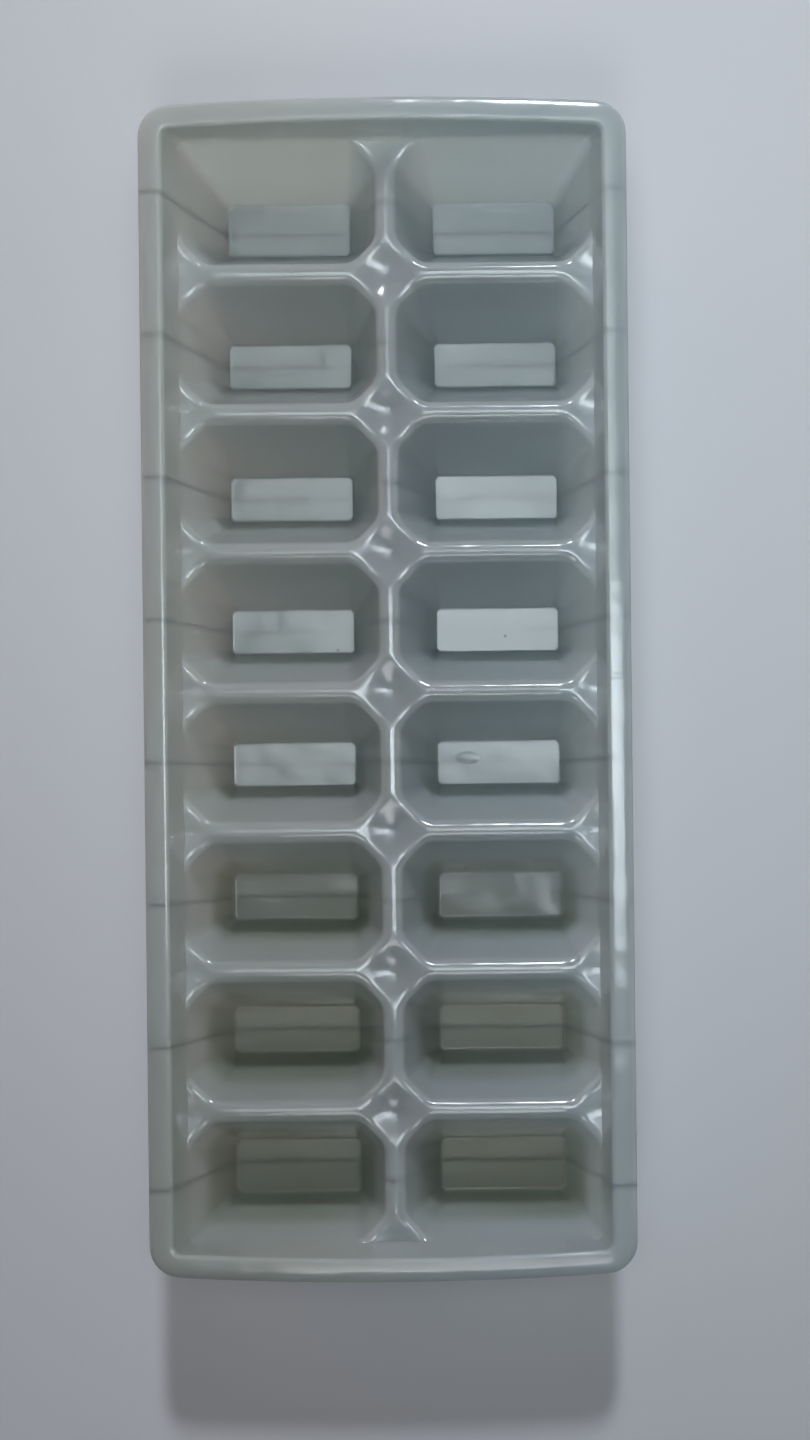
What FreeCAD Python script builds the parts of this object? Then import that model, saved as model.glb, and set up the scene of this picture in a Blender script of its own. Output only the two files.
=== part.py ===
"""Ice cube tray: one thin-walled plastic moulding, two columns by eight rows of tapered wells under a broad rim.

The tray stands on its well bottoms at z = 0, with +Z up, +Y along its length and the origin under its middle.
The moulding has no separate parts. It bends: hands twist its two ends against each other to free the ice.
So it is written here as its rows of wells, cut apart along the crests of the cross dividers, where the
twist of the plastic is stood in for by a hinge about the long axis. The cut faces are flat and square to
that axis, a hair apart, so neighbouring rows stay face to face as they turn.
All sizes are in millimetres.
"""

import FreeCAD
import Part

import math
import os

from FreeCAD import Vector

# Rows of wells
ROW_COUNT = 8
ROW_PITCH = 33.64
WELL_MOUTH_X = 48.0
WELL_FLOOR_X = 31.3
WELL_FLOOR_Y = 11.3
END_FLOOR_REACH = 2.0
WELL_DEPTH = 24.0
WELL_CORNER_CUT = 6.0
FLOOR_CORNER_CUT = 0.9
MOUTH_CORNER_RADIUS = 1.5
FLOOR_CORNER_RADIUS = 0.5
FLOOR_EDGE_RADIUS = 0.6
TRAY_CORNER_RADIUS = 2.0

# Dividers, with a dish sunk in the crest wherever two of them cross or one of them meets an outer wall
CREST_WIDTH = 3.9
CREST_RADIUS = 2.8
CREST_STEPS = 5
DISH_RADIUS = 8.2
DISH_DEPTH = 2.2
WALL_DISH_DEPTH = 1.7

# Upper wall and rim
BASIN_DEPTH = 9.0
SIDE_LEAN = 2.0
END_LEAN = 1.75
END_ARC_RADIUS = 850.0
RIM_WIDTH = 5.8
RIM_DEPTH = 5.0
RIM_EDGE_RADIUS = 1.8
RIM_INNER_RADIUS = 0.9
RIM_CORNER_RADIUS = 7.0

# Plastic
WALL = 1.3
FLOOR_THICKNESS = 1.5

# Overlap that keeps one cut from ending exactly on another, and the gap left between two rows
HAIR = 0.02
ROW_GAP = 0.1

CREST_Z = FLOOR_THICKNESS + WELL_DEPTH
RIM_Z = CREST_Z + BASIN_DEPTH
WELL_MOUTH_Y = ROW_PITCH - CREST_WIDTH
WELL_CENTRE_X = (CREST_WIDTH + WELL_MOUTH_X) / 2
FOOT_X = CREST_WIDTH / 2 + WELL_MOUTH_X
FOOT_Y = (ROW_COUNT * ROW_PITCH - CREST_WIDTH) / 2
BASIN_X = FOOT_X + SIDE_LEAN
BASIN_Y = FOOT_Y + END_LEAN
TRAY_X = BASIN_X + RIM_WIDTH
TRAY_Y = BASIN_Y + RIM_WIDTH

# A sloping wall of this thickness is a little thicker when it is measured level.
WALL_SLOPE = math.atan2((WELL_MOUTH_Y - WELL_FLOOR_Y) / 2, WELL_DEPTH)
WALL_LEVEL = WALL / math.cos(WALL_SLOPE)


def rounded_wire(points, radii, z):
    """A closed wire through the corners, counter-clockwise, with each corner rounded to its radius."""
    count = len(points)
    corners = [Vector(x, y, z) for x, y in points]
    arcs = []
    for i, radius in enumerate(radii):
        here = corners[i]
        back = (corners[i - 1] - here).normalize()
        ahead = (corners[(i + 1) % count] - here).normalize()
        half_angle = back.getAngle(ahead) / 2
        reach = radius / math.tan(half_angle)
        inward = (back + ahead).normalize()
        middle = here + inward * (radius / math.sin(half_angle) - radius)
        arcs.append((here + back * reach, middle, here + ahead * reach))
    edges = []
    for i, (start, middle, end) in enumerate(arcs):
        edges.append(Part.Arc(start, middle, end).toShape())
        edges.append(Part.LineSegment(end, arcs[(i + 1) % count][0]).toShape())
    return Part.Wire(edges)


def well_wire(column, row, drop, grow, flare, z):
    """One level of a well: a rectangle with its corners cut off, and plain where it fills the tray's corner.

    drop is how far down the level is, from 0 at the crests to 1 at the floor. grow moves every side out.
    flare moves out only the sides that a divider stands on. The floors of the end rows reach a little
    further towards the ends.
    """
    centre_x, centre_y = column * WELL_CENTRE_X, row_centre(row)
    half_x = (WELL_MOUTH_X + drop * (WELL_FLOOR_X - WELL_MOUTH_X)) / 2 + grow
    half_y = (WELL_MOUTH_Y + drop * (WELL_FLOOR_Y - WELL_MOUTH_Y)) / 2 + grow
    cut = WELL_CORNER_CUT + drop * (FLOOR_CORNER_CUT - WELL_CORNER_CUT) + (2 - math.sqrt(2)) * grow
    cut_reach = (half_x + half_y - cut) / math.sqrt(2) + flare
    radius = MOUTH_CORNER_RADIUS + drop * (FLOOR_CORNER_RADIUS - MOUTH_CORNER_RADIUS) + grow
    plain_radius = TRAY_CORNER_RADIUS + drop * (FLOOR_CORNER_RADIUS - TRAY_CORNER_RADIUS) + grow

    end = {1: 1, ROW_COUNT: -1}.get(row, 0)
    reaches = {(1, 0): half_x, (0, 1): half_y, (-1, 0): half_x, (0, -1): half_y}
    for side in reaches:
        if side != (column, 0) and side != (0, end):
            reaches[side] += flare
    end_reach = drop * END_FLOOR_REACH
    if end:
        reaches[(0, end)] += end_reach
    points, radii = [], []
    for sign_x, sign_y in ((1, 1), (-1, 1), (-1, -1), (1, -1)):
        reach_x, reach_y = reaches[(sign_x, 0)], reaches[(0, sign_y)]
        if (sign_x, sign_y) == (column, end):
            points.append((centre_x + sign_x * reach_x, centre_y + sign_y * reach_y))
            radii.append(plain_radius)
            continue
        diagonal = cut_reach * math.sqrt(2) + (end_reach if sign_y == end else 0)
        on_side = (centre_x + sign_x * reach_x, centre_y + sign_y * (diagonal - reach_x))
        on_end = (centre_x + sign_x * (diagonal - reach_y), centre_y + sign_y * reach_y)
        points += [on_side, on_end] if sign_x == sign_y else [on_end, on_side]
        radii += [radius] * 2
    return rounded_wire(points, radii, z)


def row_centre(row):
    """Where a row lies along the tray. Row 1 is at the far end."""
    return ((ROW_COUNT + 1) / 2 - row) * ROW_PITCH


def well_space(column, row):
    """The room for one cube of ice, with its floor edge rounded."""
    space = Part.makeLoft([well_wire(column, row, 1, 0, 0, FLOOR_THICKNESS),
                           well_wire(column, row, 0, 0, 0, CREST_Z)], True, True)
    floor_edges = [e for e in space.Edges if max(v.Z for v in e.Vertexes) < FLOOR_THICKNESS + 0.01]
    return space.makeFillet(FLOOR_EDGE_RADIUS, floor_edges)


def well_flare(column, row):
    """What rounds the crests off on their way down into a well.

    Its lowest level and its plain sides keep a hair inside the well, so that they remove nothing there.
    """
    start = math.pi / 2 - WALL_SLOPE
    reach = CREST_RADIUS * math.tan(start / 2)
    wires = [well_wire(column, row, 2 * CREST_RADIUS / WELL_DEPTH, -HAIR, 0, CREST_Z - 2 * CREST_RADIUS)]
    for step in range(CREST_STEPS + 1):
        angle = start * (1 - step / CREST_STEPS)
        z = CREST_Z - CREST_RADIUS * (1 - math.cos(angle))
        drop = (CREST_Z - z) / WELL_DEPTH
        flare = reach - CREST_RADIUS * math.sin(angle) + (CREST_Z - z) * math.tan(WALL_SLOPE)
        wires.append(well_wire(column, row, drop, -HAIR, max(flare, 0) + HAIR, z))
    wires.append(well_wire(column, row, 0, -HAIR, reach + HAIR, CREST_Z + HAIR))
    return Part.makeLoft(wires, True, True)


def well_outside(column, row):
    """The outside of a well, wall and floor included."""
    drop = CREST_Z / WELL_DEPTH
    return Part.makeLoft([well_wire(column, row, drop, WALL_LEVEL, 0, 0),
                          well_wire(column, row, 0, WALL_LEVEL, 0, CREST_Z)], True, True)


def outline_wire(half_x, half_y, corner, z, end_radius=None):
    """A plan outline with straight sides, and with ends bowed to end_radius or straight without it."""
    if end_radius is None:
        touch = (half_x - corner, half_y)
        side_y = half_y - corner
        turn = math.pi / 4
    else:
        end_centre = half_y - end_radius
        across = half_x - corner
        side_y = end_centre + math.sqrt((end_radius - corner) ** 2 - across ** 2)
        lean = math.atan2(across, side_y - end_centre)
        touch = (end_radius * math.sin(lean), end_centre + end_radius * math.cos(lean))
        turn = (math.pi / 2 - lean) / 2
    bend = (half_x - corner + corner * math.cos(turn), side_y + corner * math.sin(turn))
    edges = []
    for sign in (1, -1):
        side = Vector(sign * half_x, sign * side_y, z)
        near = Vector(sign * touch[0], sign * touch[1], z)
        far = Vector(-sign * touch[0], sign * touch[1], z)
        next_side = Vector(-sign * half_x, sign * side_y, z)
        edges.append(Part.LineSegment(Vector(sign * half_x, -sign * side_y, z), side).toShape())
        edges.append(Part.Arc(side, Vector(sign * bend[0], sign * bend[1], z), near).toShape())
        if end_radius is None:
            edges.append(Part.LineSegment(near, far).toShape())
        else:
            edges.append(Part.Arc(near, Vector(0, sign * half_y, z), far).toShape())
        edges.append(Part.Arc(far, Vector(-sign * bend[0], sign * bend[1], z), next_side).toShape())
    return Part.Wire(edges)


def dish(x, y, depth, shell=0):
    """A shallow round hollow in a crest, or with shell the skin of plastic under it."""
    sphere = (DISH_RADIUS ** 2 + depth ** 2) / (2 * depth)
    centre = Vector(x, y, CREST_Z - depth + sphere)
    ball = Part.makeSphere(sphere + shell, centre)
    size = 2 * DISH_RADIUS + 6
    slab = Part.makeBox(size, size, CREST_WIDTH, Vector(x - size / 2, y - size / 2, CREST_Z - CREST_WIDTH))
    return ball.common(slab)


def dish_places(row):
    """Where the dishes are on a row and its two borders: (x, y, depth)."""
    places = []
    for y in (row_centre(row) - ROW_PITCH / 2, row_centre(row) + ROW_PITCH / 2):
        if abs(y) < FOOT_Y - ROW_PITCH / 2:
            places += [(0, y, DISH_DEPTH), (FOOT_X, y, WALL_DISH_DEPTH), (-FOOT_X, y, WALL_DISH_DEPTH)]
    if row == 1:
        places.append((0, FOOT_Y, WALL_DISH_DEPTH))
    if row == ROW_COUNT:
        places.append((0, -FOOT_Y, WALL_DISH_DEPTH))
    return places


def slab(row):
    """The stretch of the tray that belongs to a row, from crest to crest or out past the rim."""
    reach = (ROW_PITCH - ROW_GAP) / 2
    near = -TRAY_Y - 1 if row == ROW_COUNT else row_centre(row) - reach
    far = TRAY_Y + 1 if row == 1 else row_centre(row) + reach
    return Part.makeBox(2 * TRAY_X + 2, far - near, RIM_Z + 2, Vector(-TRAY_X - 1, near, -1))


def block(half_x, half_y, bottom_z, top_z):
    """A plain box about the long axis."""
    return Part.makeBox(2 * half_x, 2 * half_y, top_z - bottom_z, Vector(-half_x, -half_y, bottom_z))


def rim_body():
    """The broad rim, with its edge turned down all round."""
    top_wire = outline_wire(TRAY_X, TRAY_Y, RIM_CORNER_RADIUS, RIM_Z - RIM_DEPTH, END_ARC_RADIUS)
    rim = Part.Face(top_wire).extrude(Vector(0, 0, RIM_DEPTH))
    rim = rim.makeFillet(RIM_EDGE_RADIUS, level_edges(rim, RIM_Z))
    under_wire = outline_wire(TRAY_X - WALL, TRAY_Y - WALL, RIM_CORNER_RADIUS - WALL, RIM_Z - RIM_DEPTH,
                              END_ARC_RADIUS - WALL)
    under = Part.Face(under_wire).extrude(Vector(0, 0, RIM_DEPTH - WALL))
    under = under.makeFillet(RIM_EDGE_RADIUS - WALL, level_edges(under, RIM_Z - WALL))
    return rim.cut(under)


def level_edges(shape, z):
    """The edges that lie level at z."""
    return [e for e in shape.Edges if abs(e.BoundBox.ZMin - z) < 1e-3 and abs(e.BoundBox.ZMax - z) < 1e-3]


def rim_and_deck():
    """The tray without its wells: the rim, the upper wall and the deck that the wells hang from."""
    lean = math.tan(WALL_SLOPE)
    side_wall = WALL * math.hypot(SIDE_LEAN, BASIN_DEPTH) / BASIN_DEPTH
    end_wall = WALL * math.hypot(END_LEAN, BASIN_DEPTH) / BASIN_DEPTH
    deck = Part.makeLoft([
        outline_wire(FOOT_X + WALL_LEVEL - WALL * lean, FOOT_Y + WALL_LEVEL - WALL * lean,
                     TRAY_CORNER_RADIUS + WALL_LEVEL, CREST_Z - WALL),
        outline_wire(FOOT_X + WALL_LEVEL, FOOT_Y + WALL_LEVEL, TRAY_CORNER_RADIUS + WALL_LEVEL, CREST_Z),
    ], True, True)
    upper = Part.makeLoft([
        outline_wire(FOOT_X + WALL_LEVEL, FOOT_Y + WALL_LEVEL, TRAY_CORNER_RADIUS + WALL_LEVEL, CREST_Z),
        outline_wire(BASIN_X + side_wall, BASIN_Y + end_wall, TRAY_CORNER_RADIUS + side_wall, RIM_Z - WALL / 2,
                     END_ARC_RADIUS),
    ], True, True)
    basin = Part.makeLoft([
        outline_wire(FOOT_X, FOOT_Y, TRAY_CORNER_RADIUS, CREST_Z),
        outline_wire(BASIN_X, BASIN_Y, TRAY_CORNER_RADIUS, RIM_Z, END_ARC_RADIUS),
    ], True, True)
    body = rim_body().multiFuse([deck, upper]).cut(basin)
    lip = [e for e in level_edges(body, RIM_Z) if abs(e.BoundBox.XMax) < BASIN_X + 0.01
           and abs(e.BoundBox.XMin) < BASIN_X + 0.01 and abs(e.BoundBox.YMax) < BASIN_Y + 0.01
           and abs(e.BoundBox.YMin) < BASIN_Y + 0.01]
    return body.makeFillet(RIM_INNER_RADIUS, lip)


def tray_row(row, frame):
    """One row of the tray, cut from the rest along the crests."""
    outer_limit = slab(row).common(block(FOOT_X + WALL_LEVEL, FOOT_Y + WALL_LEVEL, 0, RIM_Z))
    inner_limit = slab(row).common(block(FOOT_X, FOOT_Y, 0, RIM_Z))
    skins = [dish(*place, WALL).common(outer_limit) for place in dish_places(row)]
    hollows = [dish(*place).common(inner_limit) for place in dish_places(row)]
    body = frame.common(slab(row)).multiFuse([well_outside(column, row) for column in (-1, 1)] + skins)
    for column in (-1, 1):
        body = body.cut(well_space(column, row)).cut(well_flare(column, row))
    return body.cut(hollows)


def main():
    """Write each row of the tray to its own file. All rows but the two end ones are alike."""
    frame = rim_and_deck()
    end_row = tray_row(1, frame)
    inner_row = tray_row(2, frame)
    os.makedirs("parts", exist_ok=True)
    for row in range(1, ROW_COUNT + 1):
        if row == 1:
            body = end_row
        elif row == ROW_COUNT:
            body = end_row.copy()
            body.rotate(Vector(0, 0, 0), Vector(0, 0, 1), 180)
        else:
            body = inner_row.copy()
            body.translate(Vector(0, row_centre(row) - row_centre(2), 0))
        body.exportStep(f"parts/tray_row_{row}.step")


main()
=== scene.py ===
"""A pale, slightly see-through plastic ice cube tray, seen from straight above on a plain floor.

The tray is modelled whole: outlines are stretched up ring by ring, its wells are cut, and its dishes are
pressed in. Then it is cut through the middle of each row into two ends and seven bands. Every band
crosses one divider, where the tray twists, and joins the two rows on either side of it.
"""

import math

import bpy
from bpy.props import FloatProperty, FloatVectorProperty, IntProperty, PointerProperty
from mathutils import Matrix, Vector


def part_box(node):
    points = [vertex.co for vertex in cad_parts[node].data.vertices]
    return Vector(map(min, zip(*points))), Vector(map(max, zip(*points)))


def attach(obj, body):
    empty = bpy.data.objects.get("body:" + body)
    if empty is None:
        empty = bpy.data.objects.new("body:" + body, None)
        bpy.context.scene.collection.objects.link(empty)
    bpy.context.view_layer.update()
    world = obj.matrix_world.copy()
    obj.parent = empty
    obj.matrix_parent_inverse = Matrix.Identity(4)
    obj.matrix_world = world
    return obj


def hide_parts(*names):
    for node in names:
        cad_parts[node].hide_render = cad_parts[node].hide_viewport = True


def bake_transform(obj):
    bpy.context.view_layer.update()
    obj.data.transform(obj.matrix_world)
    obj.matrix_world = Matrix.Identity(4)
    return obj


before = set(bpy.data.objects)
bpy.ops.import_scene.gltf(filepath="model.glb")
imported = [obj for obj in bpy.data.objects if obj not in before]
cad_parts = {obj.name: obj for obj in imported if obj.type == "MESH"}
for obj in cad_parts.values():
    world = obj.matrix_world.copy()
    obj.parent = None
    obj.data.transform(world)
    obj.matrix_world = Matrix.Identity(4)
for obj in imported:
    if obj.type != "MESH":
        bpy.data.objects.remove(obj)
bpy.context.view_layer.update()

bl_info = {
    "name": "Ice cube tray",
    "version": (1, 0, 0),
    "blender": (4, 5, 0),
    "location": "View3D > Sidebar > Tray",
    "description": "Models a twist ice cube tray and its stage",
    "category": "Add Mesh",
}

MM = 0.001
ROWS = len(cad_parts)
ROW_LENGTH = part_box("tray_row_4")[1][1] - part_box("tray_row_5")[1][1]
RIM_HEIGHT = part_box("tray_row_4")[1][2]

# Radii of the wells' upright corners, of those that lie in the tray's own corners, and of small edges.
MOUTH_ROUND = 6.0 * MM
FLOOR_ROUND = 1.2 * MM
END_MOUTH_ROUND = 2.0 * MM
END_FLOOR_ROUND = 2.3 * MM
FLOOR_EDGE_ROUND = 0.6 * MM
UNDER_RIM_ROUND = 0.4 * MM
SKIRT_ROUND = 0.3 * MM

# How many steps the round stretches have.
WELL_CORNER_STEPS = 4
TRAY_CORNER_STEPS = 8
END_BOW_STEPS = 16
FILLET_STEPS = 3
CREST_STEPS = 6
RIM_EDGE_STEPS = 6
CROWN_STEPS = 5
DISH_STEPS = 10

# How the moulding's mesh is cleaned and shaded.
WELD_DISTANCE = 0.02 * MM
FLAT_ANGLE = math.radians(0.2)
SHARP_ANGLE = math.radians(32)
FLAT_FACE_WEIGHT = 60

# What the plastic's colour is multiplied by, and how much of it is changed so.
# Painted light: a warm cast on the left of the tray and a cool cast on its right.
WARM_LIGHT_LEFT = (1.07, 1.01, 0.93)
COOL_LIGHT_RIGHT = (0.94, 1.0, 1.03)
# Yellowed plastic together with painted shade, low in the wells towards the near left.
YELLOWING_AND_SHADE = (0.84, 0.78, 0.58)
YELLOWING_AND_SHADE_SHARE = 0.8
# Painted shade: the plastic darker towards the near left corner.
NEAR_LEFT_SHADE = (0.78, 0.76, 0.72)
NEAR_LEFT_SHADE_SHARE = 0.6
# Painted light: the wells' floors lighter and yellower towards the near end.
NEAR_FLOOR_LIGHT = (1.30, 1.17, 0.84)
# Painted shade: darker feet low in the wells, stronger towards the near end.
FOOT_SHADE = (0.46, 0.46, 0.36)
FOOT_SHADE_SHARE = 0.8
FOOT_SHADE_FAR_SHARE = 0.08
CLOUD = (1.08, 1.08, 1.09)
CLOUD_SHARE = 0.30

# Marks on the plastic.
SPECK = (0.05, 0.05, 0.045, 1)
SPECK_SHARE = 0.7
FLECK = (0.04, 0.045, 0.05, 1)
FLECK_SHARE = 0.9
FLECK_PLACE = (27.8 * MM, 15.2 * MM)
FLECK_RADIUS = 0.4 * MM
DROPLET_PLACE = (17.9 * MM, -15.6 * MM)
DROPLET_REACH = (3.2 * MM, 1.8 * MM)
CREASE_X = 51 * MM
CREASE_Y = 2.5 * MM
CREASE_REACH = 1.1 * MM

# The plastic's surface. The heights are shares of the relief.
RELIEF = 0.3 * MM
RELIEF_STRENGTH = 0.9
WAVE_HEIGHT = 1.6
GRAIN_HEIGHT = 0.01
SCRATCH_DEPTH = 0.0015
DROPLET_HEIGHT = 0.8
CREASE_HEIGHT = 0.25
ROUGHNESS = 0.14
CLOUD_ROUGHNESS = 0.06
SCRATCH_ROUGHNESS = 0.02
COAT_WEIGHT = 0.5
COAT_ROUGHNESS = 0.08
REFRACTION = 1.5
SCATTER_DEPTH = 9 * MM
SCATTER_COLOUR = (1.0, 1.0, 0.85)
GLOW_SHARE = 0.24

# The stage. Places are in metres and powers in watts, or for the sun in watts a square metre.
GROUND_SIZE = 6
GROUND_ROUGHNESS = 0.7
GROUND_CLOUD = (1.03, 1.04, 1.03)
HAZE_START = 0.10
HAZE_END = 0.8
ROOM_LIGHT = 0.02

# The camera. The photograph is a crop, so the lens's axis doesn't pass through its middle.
PHOTO_PIXELS = (810, 1440)
AXIS_PIXEL = (514, 798)
FOCAL_PIXELS = 1738
SENSOR_WIDTH = 36
CAMERA_PLACE = (29.6 * MM, -26.0 * MM)
CAMERA_ABOVE_RIM = 409 * MM
CAMERA_ROLL = math.radians(0.62)


def length(name, description, millimetres):
    """A size that a user can change."""
    return FloatProperty(name=name, description=description, default=millimetres * MM, min=0,
                         unit="LENGTH", precision=5)


def colour(name, description, value):
    """A colour that a user can change."""
    return FloatVectorProperty(name=name, description=description, default=value, subtype="COLOR",
                               min=0, max=1, size=3)


class TraySizes(bpy.types.PropertyGroup):
    """Sizes of the moulding."""

    rows: IntProperty(name="Rows", description="Rows of wells along the tray", default=ROWS, min=2)
    pitch: length("Row pitch", "From one row of wells to the next", ROW_LENGTH / MM)
    crest: length("Crest width", "Width of a divider at the wells' mouths", 3.9)
    mouth_x: length("Mouth width", "A well's mouth, across the tray", 48.0)
    floor_x: length("Floor width", "A well's floor, across the tray", 31.3)
    floor_y: length("Floor length", "A well's floor, along the tray", 11.3)
    end_floor: length("End floors", "How much further the end rows' floors reach to the ends", 2.0)
    depth: length("Well depth", "From the crests down to the floors", 24.0)
    mouth_cut: length("Mouth corner", "How much of a mouth's corner is cut off", 6.0)
    floor_cut: length("Floor corner", "How much of a floor's corner is cut off", 0.9)
    crest_round: length("Crest rounding", "Radius that rounds a divider's crest", 2.8)
    dish_radius: length("Dish radius", "Radius of the dishes where dividers meet", 9.3)
    dish_depth: length("Dish depth", "Depth of a dish where two dividers cross", 2.2)
    wall_dish_depth: length("Wall dish depth", "Depth of a dish where a divider meets a wall", 1.7)
    basin: length("Basin depth", "From the rim down to the crests", 9.0)
    side_lean: length("Side lean", "How far the side wall leans out below the rim", 2.0)
    end_lean: length("End lean", "How far the end wall leans out below the rim", 1.75)
    end_bow: length("End bow", "How far the ends bow out from their corners", 1.47)
    rim: length("Rim width", "Width of the rim", 5.8)
    rim_depth: length("Rim depth", "How far the rim's edge is turned down", 5.0)
    rim_crown: length("Rim crown", "Radius of the rim's gently rounded top", 12.0)
    rim_round: length("Rim rounding", "Radius of the rim's outer edge", 1.8)
    lip_round: length("Lip rounding", "Radius of the rim's inner edge", 1.1)
    rim_corner: length("Rim corner", "Radius of the rim's outer corner", 7.0)
    inner_corner: length("Inner corner", "Radius of the basin's corner", 2.0)
    wall: length("Wall", "Thickness of the plastic", 1.3)
    floor: length("Floor thickness", "Thickness of the wells' floors", 1.5)


class TrayColours(bpy.types.PropertyGroup):
    """Colours of the plastic and the stage."""

    plastic: colour("Plastic", "The moulding's grey-white", (0.515, 0.577, 0.575))
    glow: colour("Glow", "Light that has passed through the plastic", (0.74, 0.81, 0.83))
    ground: colour("Floor", "The stage's floor", (0.65, 0.66, 0.71))
    backdrop: colour("Backdrop", "What lies behind the floor", (0.60, 0.63, 0.69))


def deselect():
    """Leave edit mode and select nothing."""
    if bpy.context.object and bpy.context.object.mode != "OBJECT":
        bpy.ops.object.mode_set(mode="OBJECT")
    bpy.ops.object.select_all(action="DESELECT")


def pick(piece):
    """Make the piece the only one selected."""
    deselect()
    piece.select_set(True)
    bpy.context.view_layer.objects.active = piece


def arc_points(before, corner, after, radius, steps):
    """The corner of a path rounded with an arc of steps pieces. Works on flat and standing paths."""
    back = (Vector(before) - Vector(corner)).normalized()
    ahead = (Vector(after) - Vector(corner)).normalized()
    half = back.angle(ahead) / 2
    reach = radius / math.tan(half)
    centre = Vector(corner) + (back + ahead).normalized() * (radius / math.sin(half))
    start = Vector(corner) + back * reach - centre
    end = Vector(corner) + ahead * reach - centre
    return [centre + start.slerp(end, i / steps).normalized() * radius for i in range(steps + 1)]


def rounded(corners, radii, steps):
    """A closed outline with its corners rounded."""
    points = []
    for i, corner in enumerate(corners):
        points += arc_points(corners[i - 1], corner, corners[(i + 1) % len(corners)], radii[i], steps)
    return points


def between(mouth, floor, drop):
    """A size of a well between its mouth, where drop is 0, and its floor, where drop is 1."""
    return mouth + drop * (floor - mouth)


def stack(name, rings):
    """A closed solid that is stretched up from its first ring through all the others, then filled."""
    deselect()
    bpy.ops.mesh.primitive_circle_add(vertices=len(rings[0]), fill_type="NGON")
    piece = bpy.context.object
    piece.name = name
    for vertex, point in zip(piece.data.vertices, rings[0]):
        vertex.co = point
    bpy.ops.object.mode_set(mode="EDIT")
    bpy.ops.mesh.select_all(action="SELECT")
    for ring in rings[1:]:
        bpy.ops.mesh.extrude_region_move()
        bpy.ops.object.mode_set(mode="OBJECT")
        raised = [v for v in piece.data.vertices if v.select]
        for vertex, point in zip(raised, ring):
            vertex.co = point
        bpy.ops.object.mode_set(mode="EDIT")
    bpy.ops.mesh.select_all(action="SELECT")
    bpy.ops.mesh.normals_make_consistent(inside=False)
    bpy.ops.object.mode_set(mode="OBJECT")
    return piece


def join(pieces, name):
    """One object of several."""
    pick(pieces[0])
    for piece in pieces:
        piece.select_set(True)
    bpy.ops.object.join()
    pieces[0].name = name
    return pieces[0]


def carve(piece, tool, operation):
    """Add the tool to the piece or cut it away, and drop the tool."""
    modifier = piece.modifiers.new("Carve", "BOOLEAN")
    modifier.operation = operation
    modifier.solver = "EXACT"
    modifier.object = tool
    pick(piece)
    bpy.ops.object.modifier_apply(modifier=modifier.name)
    bpy.data.objects.remove(tool)


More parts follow.
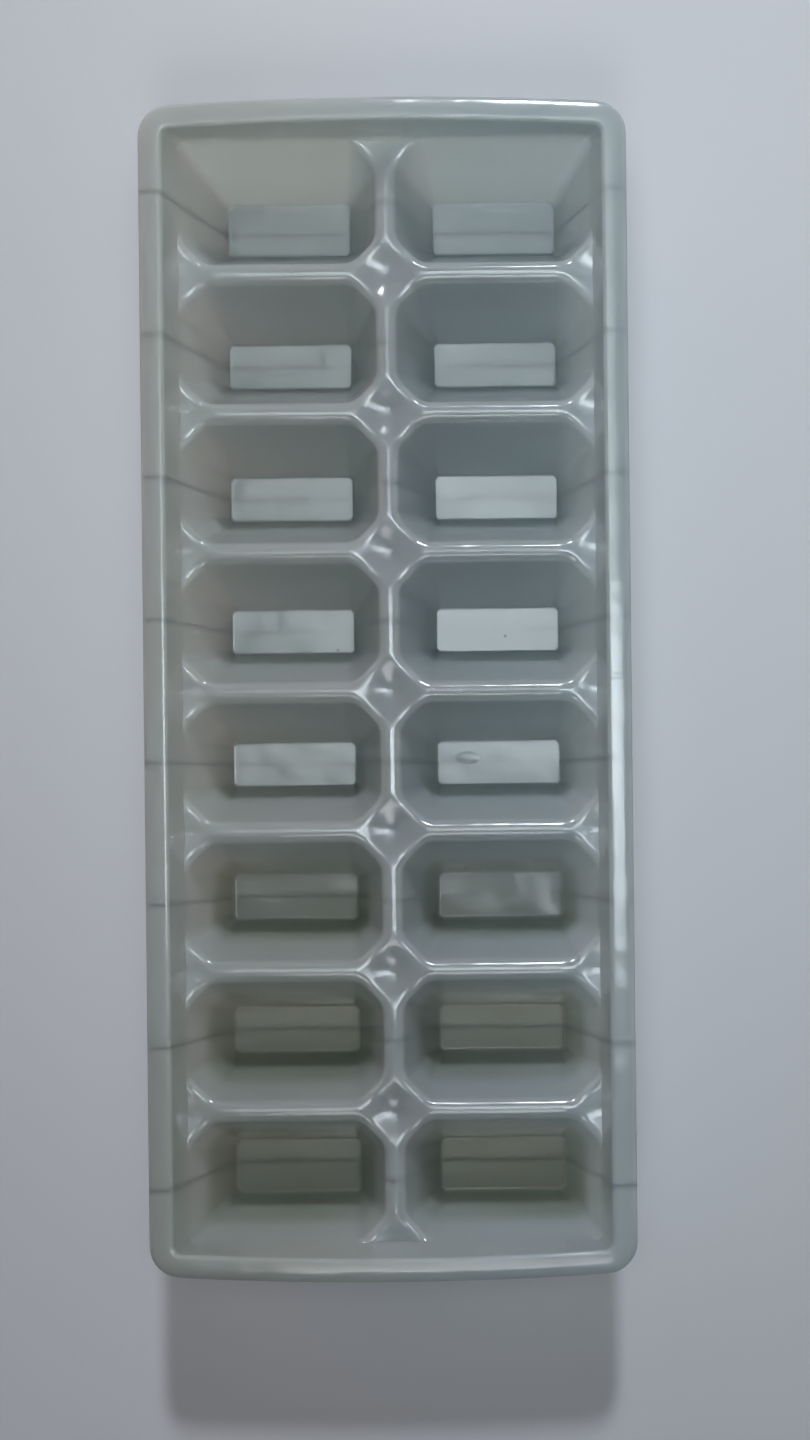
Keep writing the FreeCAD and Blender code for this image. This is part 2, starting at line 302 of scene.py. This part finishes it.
class Plan:
    """Where things lie in the tray, worked out from its sizes."""

    def __init__(self, s):
        self.s = s
        self.crest_z = s.floor + s.depth
        self.rim_z = self.crest_z + s.basin
        self.mouth_y = s.pitch - s.crest
        self.centre_x = (s.crest + s.mouth_x) / 2
        self.foot_x = s.crest / 2 + s.mouth_x
        self.foot_y = (s.rows * s.pitch - s.crest) / 2
        self.slope = math.atan2((self.mouth_y - s.floor_y) / 2, s.depth)
        self.wall_level = s.wall / math.cos(self.slope)
        self.cells = [(column, row) for row in range(1, s.rows + 1) for column in (-1, 1)]

    def row_y(self, row):
        """The middle of a row. Row 1 is at the far end."""
        return ((self.s.rows + 1) / 2 - row) * self.s.pitch

    def well_ring(self, column, row, z, grow=0, flare=0):
        """One level of a well: a rectangle with cut corners, but not in the tray's own corner.

        It grows all round, and flares towards the crests but not towards the tray's walls.
        """
        s = self.s
        drop = (self.crest_z - z) / s.depth
        half_x = between(s.mouth_x, s.floor_x, drop) / 2 + grow
        half_y = between(self.mouth_y, s.floor_y, drop) / 2 + grow
        cut = between(s.mouth_cut, s.floor_cut, drop) + (2 - math.sqrt(2)) * grow
        reach = half_x + half_y - cut + flare * math.sqrt(2)
        radius = between(MOUTH_ROUND, FLOOR_ROUND, drop) + grow
        end_radius = between(END_MOUTH_ROUND, END_FLOOR_ROUND, drop) + grow
        end = {1: 1, s.rows: -1}.get(row, 0)
        end_reach = drop * s.end_floor
        side_x = {sign: half_x + (0 if sign == column else flare) for sign in (1, -1)}
        side_y = {sign: half_y + (end_reach if sign == end else flare) for sign in (1, -1)}
        corners, radii = [], []
        for sign_x, sign_y in ((1, 1), (-1, 1), (-1, -1), (1, -1)):
            x, y = side_x[sign_x], side_y[sign_y]
            if (sign_x, sign_y) == (column, end):
                corners.append((sign_x * x, sign_y * y))
                radii.append(end_radius)
                continue
            diagonal = reach + (end_reach if sign_y == end else 0)
            pair = [(sign_x * x, sign_y * (diagonal - x)), (sign_x * (diagonal - y), sign_y * y)]
            corners += pair if sign_x == sign_y else pair[::-1]
            radii += [radius, radius]
        middle = Vector((column * self.centre_x, self.row_y(row), z))
        outline = rounded([Vector((*c, 0)) for c in corners], radii, WELL_CORNER_STEPS)
        return [middle + p for p in outline]

    def tray_ring(self, out_x, out_y, corner, bow, z):
        """One level of the rim, the upper wall or the deck: a rounded rectangle with bowed ends."""
        signs = ((1, 1), (-1, 1), (-1, -1), (1, -1))
        corners = [Vector((sign_x * out_x, sign_y * out_y, 0)) for sign_x, sign_y in signs]
        points = []
        for i, c in enumerate(corners):
            points += arc_points(corners[i - 1], c, corners[(i + 1) % 4], corner, TRAY_CORNER_STEPS)
            if i % 2 == 0:
                last = points[-1]
                opposite = Vector((-last.x, last.y, 0))
                points += [last.lerp(opposite, k / END_BOW_STEPS) for k in range(1, END_BOW_STEPS)]
        for p in points:
            p.y -= math.copysign(bow * (p.x / self.foot_x) ** 2, p.y)
            p.z = z
        return points

    def rim_section(self):
        """The rim in section, from under its inner side round its turned edge to its top: (out, z)."""
        s = self.s
        under = self.rim_z - s.wall
        skirt_z = self.rim_z - s.rim_depth
        side_wall = s.wall * math.hypot(s.side_lean, s.basin) / s.basin
        lip = arc_points((s.rim, 0, self.rim_z), (0, 0, self.rim_z), (-s.side_lean, 0, self.crest_z),
                         s.lip_round, RIM_EDGE_STEPS)
        crown_x = lip[0].x
        tilt = math.asin((s.rim - crown_x - s.rim_round) / (s.rim_crown - s.rim_round))
        fall = s.rim_crown * (1 - math.cos(tilt))
        path = [
            (self.wall_level - s.side_lean, self.crest_z, 0),
            (side_wall, under, UNDER_RIM_ROUND),
            (s.rim - s.wall, under - fall, s.rim_round - s.wall),
            (s.rim - s.wall, skirt_z, SKIRT_ROUND),
            (s.rim, skirt_z, SKIRT_ROUND),
            (s.rim, self.rim_z, 0),
        ]
        points = []
        for before, here, after in zip(path, path[1:], path[2:]):
            flat = [(p[0], 0, p[1]) for p in (before, here, after)]
            points += arc_points(*flat, here[2], FILLET_STEPS)
        edge_z = self.rim_z - s.rim_crown + (s.rim_crown - s.rim_round) * math.cos(tilt)
        for k in range(RIM_EDGE_STEPS + 1):
            turn = (math.pi / 2 - tilt) * k / RIM_EDGE_STEPS
            points.append(Vector((s.rim - s.rim_round + s.rim_round * math.cos(turn), 0,
                                  edge_z + s.rim_round * math.sin(turn))))
        for k in range(1, CROWN_STEPS):
            turn = tilt * (1 - k / CROWN_STEPS)
            points.append(Vector((crown_x + s.rim_crown * math.sin(turn), 0,
                                  self.rim_z - s.rim_crown * (1 - math.cos(turn)))))
        return [(p.x, p.z) for p in points + lip]

    def shell_rings(self):
        """The rim, the upper wall and the deck, from the deck's underside round to its top."""
        s = self.s
        side_x, side_y = self.foot_x + s.side_lean, self.foot_y + s.end_lean
        tuck = self.wall_level - s.wall * math.tan(self.slope)
        rings = []
        for out, z in ((tuck, self.crest_z - s.wall), (self.wall_level, self.crest_z)):
            corner = s.inner_corner + out
            rings.append(self.tray_ring(self.foot_x + out, self.foot_y + out, corner, 0, z))
        for out, z in self.rim_section():
            corner = s.inner_corner + max(out, 0) * (s.rim_corner - s.inner_corner) / s.rim
            rings.append(self.tray_ring(side_x + out, side_y + out, corner, s.end_bow, z))
        rings.append(self.tray_ring(self.foot_x, self.foot_y, s.inner_corner, 0, self.crest_z))
        return rings

    def well_outside(self, column, row):
        """The outside of a well, up to the middle of the deck."""
        top = self.crest_z - self.s.wall / 2
        return [self.well_ring(column, row, z, grow=self.wall_level) for z in (0, top)]

    def well_inside(self, column, row):
        """The space in a well, with its floor's edge and the crests round it rounded."""
        s = self.s
        start = math.pi / 2 - self.slope
        edges = (
            (FLOOR_EDGE_ROUND, s.floor, 1, FILLET_STEPS),
            (s.crest_round, self.crest_z, -1, CREST_STEPS),
        )
        rings = []
        for radius, foot, way, steps in edges:
            reach = radius * math.tan(start / 2)
            for step in range(steps + 1):
                angle = start * (step if way > 0 else steps - step) / steps
                rise = radius * (1 - math.cos(angle))
                out = reach - radius * math.sin(angle) + rise * math.tan(self.slope)
                grow, flare = (-out, 0) if way > 0 else (0, out)
                rings.append(self.well_ring(column, row, foot + way * rise, grow, flare))
        above = Vector((0, 0, MM))
        rings.append([p + above for p in rings[-1]])
        return rings

    def dish_places(self):
        """Where dishes are: (x, y, depth)."""
        s = self.s
        places = []
        for row in range(1, s.rows):
            y = self.row_y(row) - s.pitch / 2
            places += [(0, y, s.dish_depth), (self.foot_x, y, s.wall_dish_depth),
                       (-self.foot_x, y, s.wall_dish_depth)]
        return places + [(0, self.foot_y, s.wall_dish_depth), (0, -self.foot_y, s.wall_dish_depth)]


def whole_tray(plan):
    """The moulding in one piece."""
    tray = stack("tray", plan.shell_rings())
    outsides = [stack("outside", plan.well_outside(*cell)) for cell in plan.cells]
    carve(tray, join(outsides, "outsides"), "UNION")
    insides = [stack("inside", plan.well_inside(*cell)) for cell in plan.cells]
    carve(tray, join(insides, "insides"), "DIFFERENCE")
    pick(tray)
    bpy.ops.object.mode_set(mode="EDIT")
    bpy.ops.mesh.select_all(action="SELECT")
    bpy.ops.mesh.remove_doubles(threshold=WELD_DISTANCE)
    bpy.ops.mesh.dissolve_limited(angle_limit=FLAT_ANGLE)
    score(plan)
    sink_dishes(tray, plan)
    bpy.ops.object.mode_set(mode="OBJECT")
    return tray


def score(plan):
    """Add cuts round the dishes, where its surface sinks, and across the tray."""
    s = plan.s
    close = [k * s.dish_radius / DISH_STEPS for k in range(-DISH_STEPS, DISH_STEPS + 1)]
    dish_y = [y for x, y, _ in plan.dish_places() if x == 0]
    lines_x = [x + d for x in (0, plan.foot_x, -plan.foot_x) for d in close if abs(x + d) < plan.foot_x]
    lines_y = [y + d for y in dish_y for d in close if abs(y + d) < plan.foot_y]
    lines_y += [plan.row_y(row) + k * s.pitch / 8 for row in range(1, s.rows + 1) for k in (-1, 0, 1)]
    for places, axis in ((lines_x, Vector((1, 0, 0))), (lines_y, Vector((0, 1, 0)))):
        for place in places:
            bpy.ops.mesh.select_all(action="SELECT")
            bpy.ops.mesh.bisect(plane_co=axis * place, plane_no=axis)


def sink_dishes(tray, plan):
    """Press a smooth dish into the plastic wherever crests meet each other or a wall."""
    s = plan.s
    for x, y, depth in plan.dish_places():
        bpy.ops.mesh.select_all(action="DESELECT")
        bpy.ops.object.mode_set(mode="OBJECT")
        middle = Vector((x, y, plan.crest_z))
        nearest = min(tray.data.vertices, key=lambda v: (v.co - middle).length_squared)
        nearest.select = True
        bpy.ops.object.mode_set(mode="EDIT")
        bpy.ops.transform.translate(value=(0, 0, -depth), use_proportional_edit=True,
                                    proportional_edit_falloff="SMOOTH", proportional_size=s.dish_radius)


def finish_surface(piece, material):
    """Shade the piece smooth between its edges, with flat faces kept flat, and give it its material."""
    pick(piece)
    bpy.ops.object.shade_smooth_by_angle(angle=SHARP_ANGLE)
    modifier = piece.modifiers.new("Flat faces", "WEIGHTED_NORMAL")
    modifier.keep_sharp = True
    modifier.weight = FLAT_FACE_WEIGHT
    bpy.ops.object.modifier_apply(modifier=modifier.name)
    piece.data.materials.clear()
    piece.data.materials.append(material)


def stretch_of(tray, name, near, far):
    """A copy of the tray's stretch between two cuts across it. A missing cut leaves that end whole."""
    pick(tray)
    bpy.ops.object.duplicate()
    piece = bpy.context.object
    piece.name = name
    bpy.ops.object.mode_set(mode="EDIT")
    for y, way in ((near, -1), (far, 1)):
        if y is not None:
            bpy.ops.mesh.select_all(action="SELECT")
            bpy.ops.mesh.bisect(plane_co=(0, y, 0), plane_no=(0, way, 0), clear_outer=True)
    bpy.ops.object.mode_set(mode="OBJECT")
    return piece


class Wire:
    """A shader node's output, with arithmetic that adds Math nodes."""

    def __init__(self, tree, socket):
        self.tree = tree
        self.socket = socket

    def math(self, operation, other, swap=False):
        """A Math node on this and another value, or on the two swapped."""
        values = (other, self) if swap else (self, other)
        return self.tree.node("ShaderNodeMath", {"operation": operation}, {0: values[0], 1: values[1]})

    def __add__(self, other):
        return self.math("ADD", other)

    def __radd__(self, other):
        return self.math("ADD", other, True)

    def __sub__(self, other):
        return self.math("SUBTRACT", other)

    def __rsub__(self, other):
        return self.math("SUBTRACT", other, True)

    def __mul__(self, other):
        return self.math("MULTIPLY", other)

    def __rmul__(self, other):
        return self.math("MULTIPLY", other, True)

    def __truediv__(self, other):
        return self.math("DIVIDE", other)

    def __rtruediv__(self, other):
        return self.math("DIVIDE", other, True)

    def __gt__(self, other):
        return self.math("GREATER_THAN", other)

    def __lt__(self, other):
        return self.math("LESS_THAN", other)


class Nodes:
    """The nodes of a material or of the world, built from nothing."""

    def __init__(self, owner):
        owner.use_nodes = True
        self.owner = owner
        self.tree = owner.node_tree
        self.tree.nodes.clear()

    def node(self, kind, settings=None, sockets=None, output=0):
        """Add a node: its settings come first, then its sockets' values or links."""
        node = self.tree.nodes.new(kind)
        for name, value in (settings or {}).items():
            setattr(node, name, value)
        for name, value in (sockets or {}).items():
            if isinstance(value, Wire):
                self.tree.links.new(value.socket, node.inputs[name])
            else:
                node.inputs[name].default_value = value
        return Wire(self, node.outputs[output]) if node.outputs else None

    def place(self):
        """Where a point lies on the object, in metres."""
        return self.node("ShaderNodeTexCoord", output="Object")

    def axes(self, vector):
        """The x, y and z of a vector."""
        split = self.node("ShaderNodeSeparateXYZ", {}, {"Vector": vector})
        return [Wire(self, socket) for socket in split.socket.node.outputs]

    def stretched(self, scale, turn):
        """The same place in stretched and turned units."""
        return self.node("ShaderNodeMapping", {}, {
            "Vector": self.place(), "Rotation": (0, 0, turn), "Scale": scale})

    def noise(self, scale, detail, vector=None):
        """Soft noise from 0 to 1."""
        return self.node("ShaderNodeTexNoise", {}, {
            "Vector": vector or self.place(), "Scale": scale, "Detail": detail, "Roughness": 0.5})

    def ramp(self, wire, low, high):
        """0 at low, 1 at high and smooth between them."""
        return self.node("ShaderNodeMapRange", {"interpolation_type": "SMOOTHSTEP"}, {
            "Value": wire, "From Min": low, "From Max": high})

    def blend(self, mask, first, second):
        """A colour between two."""
        return self.node("ShaderNodeMix", {"data_type": "RGBA"}, {
            "Factor": mask, 6: first, 7: second}, output=2)

    def seen(self):
        """1 where the camera looks straight at a surface, and 0 for light and reflections."""
        return self.node("ShaderNodeLightPath", output="Is Camera Ray")


def toned(colour, tone):
    """The colour multiplied by a tone."""
    return (*(part * share for part, share in zip(colour, tone)), 1)


def painted_light_tint(shader, colour):
    """The plastic's colour with a painted warm light to the left and cool light to the right, yellowing
    with painted shade low in the near left wells, and painted shade towards the near left corner.
    """
    x, y, z = shader.axes(shader.place())
    # Painted light: a warm cast on the left and a cool cast on the right.
    rightward = shader.ramp(x, -30 * MM, 35 * MM)
    tint = shader.blend(rightward, toned(colour, WARM_LIGHT_LEFT), toned(colour, COOL_LIGHT_RIGHT))
    # Yellowing together with painted shade, low in the wells towards the near left.
    low = shader.ramp(z, 26 * MM, 4 * MM)
    yellowing_and_shade = low * shader.ramp(y, 0, -90 * MM) * shader.ramp(x, 50 * MM, -30 * MM)
    tint = shader.blend(yellowing_and_shade * YELLOWING_AND_SHADE_SHARE, tint, toned(colour, YELLOWING_AND_SHADE))
    # Painted shade: darker towards the near left corner.
    near_left_shade = shader.ramp(y, -15 * MM, -110 * MM) * shader.ramp(x, 30 * MM, -50 * MM)
    return shader.blend(near_left_shade * NEAR_LEFT_SHADE_SHARE, tint, toned(colour, NEAR_LEFT_SHADE))


def painted_well_shading(shader, colour, tint):
    """The tint with painted light on the wells' floors and painted shade at their feet, both stronger
    towards the near end.
    """
    _, y, z = shader.axes(shader.place())
    upwards = shader.axes(shader.node("ShaderNodeTexCoord", output="Normal"))[2]
    inside = shader.ramp(upwards, 0, 0.15)
    # Painted light: the wells' floors lighter and yellower towards the near end.
    floors = inside * shader.ramp(z, 2.6 * MM, 1.7 * MM) * shader.ramp(y, -20 * MM, -90 * MM)
    tint = shader.blend(floors, tint, toned(colour, NEAR_FLOOR_LIGHT))
    # Painted shade: the feet of the wells' inner walls darker, stronger towards the near end.
    lift = shader.ramp(y, -20 * MM, -100 * MM) * (6 * MM)
    foot = shader.ramp(z, 1.6 * MM, 3.6 * MM) * shader.ramp(z - lift, 13 * MM, 6 * MM)
    nearness = shader.ramp(y, 20 * MM, -70 * MM) * (1 - FOOT_SHADE_FAR_SHARE) + FOOT_SHADE_FAR_SHARE
    return shader.blend(inside * foot * nearness * FOOT_SHADE_SHARE, tint, toned(colour, FOOT_SHADE))


def marked_tint(shader, colour, tint, cloudy):
    """The tint with clouds in the plastic, a few dark specks, and one larger fleck on a floor."""
    tint = shader.blend(shader.ramp(cloudy, 0.35, 0.75) * CLOUD_SHARE, tint, toned(colour, CLOUD))
    cells = shader.node("ShaderNodeTexVoronoi", {"feature": "F1"}, {
        "Vector": shader.place(), "Scale": 95})
    specks = (cells < 0.035) * (shader.noise(60, 0) > 0.66)
    tint = shader.blend(specks * SPECK_SHARE, tint, SPECK)
    x, y, _ = shader.axes(shader.place())
    off_x = x - FLECK_PLACE[0]
    off_y = y - FLECK_PLACE[1]
    fleck = (off_x * off_x + off_y * off_y) < FLECK_RADIUS ** 2
    return shader.blend(fleck * FLECK_SHARE, tint, FLECK)


def scratches(shader):
    """Faint scratches in two directions, where the plastic is worn."""
    along = shader.noise(60, 1, shader.stretched((45, 2, 2), 0.2))
    across = shader.noise(60, 1, shader.stretched((2, 40, 2), 0.35))
    worn = shader.ramp(shader.noise(18, 2), 0.45, 0.60)
    return (shader.ramp(across, 0.66, 0.70) + shader.ramp(along, 0.68, 0.72)) * worn


def surface_height(shader, scratched):
    """The surface's ripple, wave, grain and scratches, a droplet on a floor, and a crease on the rim."""
    x, y, _ = shader.axes(shader.place())
    off_x = (x - DROPLET_PLACE[0]) / DROPLET_REACH[0]
    off_y = (y - DROPLET_PLACE[1]) / DROPLET_REACH[1]
    droplet = shader.ramp(off_x * off_x + off_y * off_y, 1, 0)
    crease = shader.ramp(x, CREASE_X, CREASE_X + MM)
    for way in (-1, 1):
        crease = crease * shader.ramp(y, CREASE_Y + way * CREASE_REACH, CREASE_Y)
    ripple = shader.noise(38, 1)
    wave = shader.noise(95, 1)
    grain = shader.noise(1400, 1)
    height = ripple + wave * WAVE_HEIGHT + grain * GRAIN_HEIGHT - scratched * SCRATCH_DEPTH
    return height + droplet * DROPLET_HEIGHT + crease * CREASE_HEIGHT


def plastic_material(colours):
    """Glossy, slightly see-through moulded plastic that has been in use, with painted light and shade in
    its colour.
    """
    shader = Nodes(bpy.data.materials.new("tray_plastic"))
    cloudy = shader.noise(26, 3)
    scratched = scratches(shader)
    tint = painted_light_tint(shader, colours.plastic)
    tint = painted_well_shading(shader, colours.plastic, tint)
    tint = marked_tint(shader, colours.plastic, tint, cloudy)
    relief = shader.node("ShaderNodeBump", {}, {
        "Strength": RELIEF_STRENGTH,
        "Distance": RELIEF,
        "Height": surface_height(shader, scratched),
    })
    skin = shader.node("ShaderNodeBsdfPrincipled", {}, {
        "Base Color": tint,
        "Roughness": ROUGHNESS + cloudy * CLOUD_ROUGHNESS + scratched * SCRATCH_ROUGHNESS,
        "Normal": relief,
        "IOR": REFRACTION,
        "Subsurface Weight": 1,
        "Subsurface Radius": SCATTER_COLOUR,
        "Subsurface Scale": SCATTER_DEPTH,
        "Coat Weight": COAT_WEIGHT,
        "Coat Roughness": COAT_ROUGHNESS,
    })
    glow = shader.node("ShaderNodeBsdfTranslucent", {}, {"Color": (*colours.glow, 1)})
    mixed = shader.node("ShaderNodeMixShader", {}, {0: GLOW_SHARE, 1: skin, 2: glow})
    shader.node("ShaderNodeOutputMaterial", {}, {"Surface": mixed})
    return shader.owner


def ground_material(colours):
    """A plain pale worktop, which fades to the backdrop's colour far from the tray."""
    shader = Nodes(bpy.data.materials.new("ground"))
    tint = shader.blend(shader.noise(3, 3), (*colours.ground, 1), toned(colours.ground, GROUND_CLOUD))
    table = shader.node("ShaderNodeBsdfPrincipled", {}, {
        "Base Color": tint, "Roughness": GROUND_ROUGHNESS})
    haze = shader.node("ShaderNodeEmission", {}, {"Color": (*colours.backdrop, 1), "Strength": 1})
    x, y, _ = shader.axes(shader.place())
    distant = shader.ramp(x * x + y * y, HAZE_START, HAZE_END)
    mixed = shader.node("ShaderNodeMixShader", {}, {0: distant * shader.seen(), 1: table, 2: haze})
    shader.node("ShaderNodeOutputMaterial", {}, {"Surface": mixed})
    return shader.owner


class TRAY_OT_moulding(bpy.types.Operator):
    """Model the tray and cut it into two ends and the bands that lie between its rows."""

    bl_idname = "tray.moulding"
    bl_label = "Moulding"

    def execute(self, context):
        plan = Plan(context.scene.tray_sizes)
        rows = plan.s.rows
        tray = whole_tray(plan)
        plastic = plastic_material(context.scene.tray_colours)
        for row, name in ((1, "far_end"), (rows, "near_end")):
            cut = plan.row_y(row)
            near, far = (cut, None) if row == 1 else (None, cut)
            piece = stretch_of(tray, name, near, far)
            finish_surface(piece, plastic)
            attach(piece, f"row_{row}")
            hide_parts(f"tray_row_{row}")
        for row in range(1, rows):
            near, far = plan.row_y(row + 1), plan.row_y(row)
            piece = stretch_of(tray, f"band_{row}_{row + 1}", near, far)
            finish_surface(piece, plastic)
            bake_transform(piece)
            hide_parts(f"tray_row_{row}", f"tray_row_{row + 1}")
        bpy.data.objects.remove(tray)
        return {"FINISHED"}


class TRAY_OT_stage(bpy.types.Operator):
    """Lay the floor, hang the lamps and set the camera."""

    bl_idname = "tray.stage"
    bl_label = "Floor, lamps and camera"

    def execute(self, context):
        scene = context.scene
        self.ground(scene)
        self.lamps()
        self.room(scene)
        self.camera(scene)
        scene.view_settings.view_transform = "Standard"
        return {"FINISHED"}

    def ground(self, scene):
        """The worktop under the tray."""
        deselect()
        bpy.ops.mesh.primitive_plane_add(size=GROUND_SIZE)
        floor = bpy.context.object
        floor.name = "floor"
        floor.data.materials.append(ground_material(scene.tray_colours))

    def lamps(self):
        """A low sun beyond the far end, soft lamps above and around, and two that only reflections show.

        Those two are the bright things that the right rim and the floors of the right wells mirror.
        """
        self.sun("far_lamp", 1.25, (0.89, 0.94, 1.0), height=34.5, turn=4, width=5)
        self.panel("soft_lamp", 0.64, (0.87, 0.98, 1.0), (0.10, 0.26, 0.9), (0.6, 0.6), spread=60)
        self.panel("left_lamp", 1.35, (1.0, 0.55, 0.46), (-0.75, 0.55, 0.35), (0.9, 0.5),
                   aim=(0, -0.08, 0.02))
        self.panel("right_lamp", 1.05, (1.0, 0.94, 0.90), (0.9, 0.1, 0.35), (0.9, 0.5),
                   aim=(0, -0.02, 0.02))
        self.panel("window_lamp", 13.5, (0.84, 0.93, 1.0), (0.70, 0, 2.0), (1.0, 0.46), reflected=True)
        self.panel("glint_lamp", 0.75, (0.84, 0.95, 1.0), (-0.02, 0.27, 2.0), (0.2, 0.4), reflected=True)
        self.panel("near_lamp", 0.12, (1.0, 1.0, 1.0), (0, -0.5, 0.8), (0.3, 0.3),
                   aim=(0, 0.10, 0.02), spread=50)

    def lamp(self, name, kind, power, tint, place):
        """A lamp that points straight down."""
        deselect()
        bpy.ops.object.light_add(type=kind, location=place)
        lamp = bpy.context.object
        lamp.name = name
        lamp.data.energy = power
        lamp.data.color = tint
        return lamp

    def sun(self, name, power, tint, height, turn, width):
        """A sun, by its height, its turn from the far end towards the right and its width in degrees."""
        lamp = self.lamp(name, "SUN", power, tint, (0, 0, 1))
        height, turn = math.radians(height), math.radians(turn)
        level = math.cos(height)
        towards = Vector((math.sin(turn) * level, math.cos(turn) * level, math.sin(height)))
        lamp.rotation_euler = towards.to_track_quat("Z", "Y").to_euler()
        lamp.data.angle = math.radians(width)

    def panel(self, name, power, tint, place, size, aim=None, spread=180, reflected=False):
        """A flat lamp with a width and a length, which faces down or the place that it is aimed at."""
        lamp = self.lamp(name, "AREA", power, tint, place)
        lamp.data.shape = "RECTANGLE"
        lamp.data.size = size[0]
        lamp.data.size_y = size[1]
        lamp.data.spread = math.radians(spread)
        lamp.visible_diffuse = not reflected
        lamp.visible_transmission = not reflected
        if aim:
            away = Vector(place) - Vector(aim)
            lamp.rotation_euler = away.to_track_quat("Z", "Y").to_euler()

    def room(self, scene):
        """A plain backdrop that hardly lights the tray."""
        scene.world = bpy.data.worlds.new("room")
        shader = Nodes(scene.world)
        background = shader.node("ShaderNodeBackground", {}, {
            "Color": (*scene.tray_colours.backdrop, 1),
            "Strength": shader.seen().math("MAXIMUM", ROOM_LIGHT),
        })
        shader.node("ShaderNodeOutputWorld", {}, {"Surface": background})

    def camera(self, scene):
        """Straight above the tray, with its shift set to the photograph's crop."""
        width, height = PHOTO_PIXELS
        place = (*CAMERA_PLACE, RIM_HEIGHT + CAMERA_ABOVE_RIM)
        bpy.ops.object.camera_add(location=place, rotation=(0, 0, -CAMERA_ROLL))
        camera = bpy.context.object
        camera.name = "camera"
        camera.data.sensor_width = SENSOR_WIDTH
        camera.data.lens = SENSOR_WIDTH * FOCAL_PIXELS / height
        camera.data.shift_x = -(AXIS_PIXEL[0] - width / 2) / height
        camera.data.shift_y = (AXIS_PIXEL[1] - height / 2) / height
        scene.camera = camera


class TRAY_PT_panel(bpy.types.Panel):
    """Lists the steps and the sizes."""

    bl_idname = "TRAY_PT_panel"
    bl_label = "Ice cube tray"
    bl_space_type = "VIEW_3D"
    bl_region_type = "UI"
    bl_category = "Tray"

    def draw(self, context):
        for step in STEPS:
            self.layout.operator(step.bl_idname)
        for group in (context.scene.tray_sizes, context.scene.tray_colours):
            box = self.layout.box()
            for name in group.__annotations__:
                box.prop(group, name)


STEPS = (TRAY_OT_moulding, TRAY_OT_stage)
CLASSES = (TraySizes, TrayColours, *STEPS, TRAY_PT_panel)


def register():
    """Make the sizes, the steps and the panel known to Blender."""
    for cls in CLASSES:
        bpy.utils.register_class(cls)
    bpy.types.Scene.tray_sizes = PointerProperty(type=TraySizes)
    bpy.types.Scene.tray_colours = PointerProperty(type=TrayColours)


def unregister():
    """Take them out again."""
    del bpy.types.Scene.tray_sizes
    del bpy.types.Scene.tray_colours
    for cls in reversed(CLASSES):
        bpy.utils.unregister_class(cls)


def main():
    """Model the tray and its stage."""
    register()
    bpy.ops.tray.moulding()
    bpy.ops.tray.stage()
    bpy.context.view_layer.update()


if __name__ == "__main__":
    main()
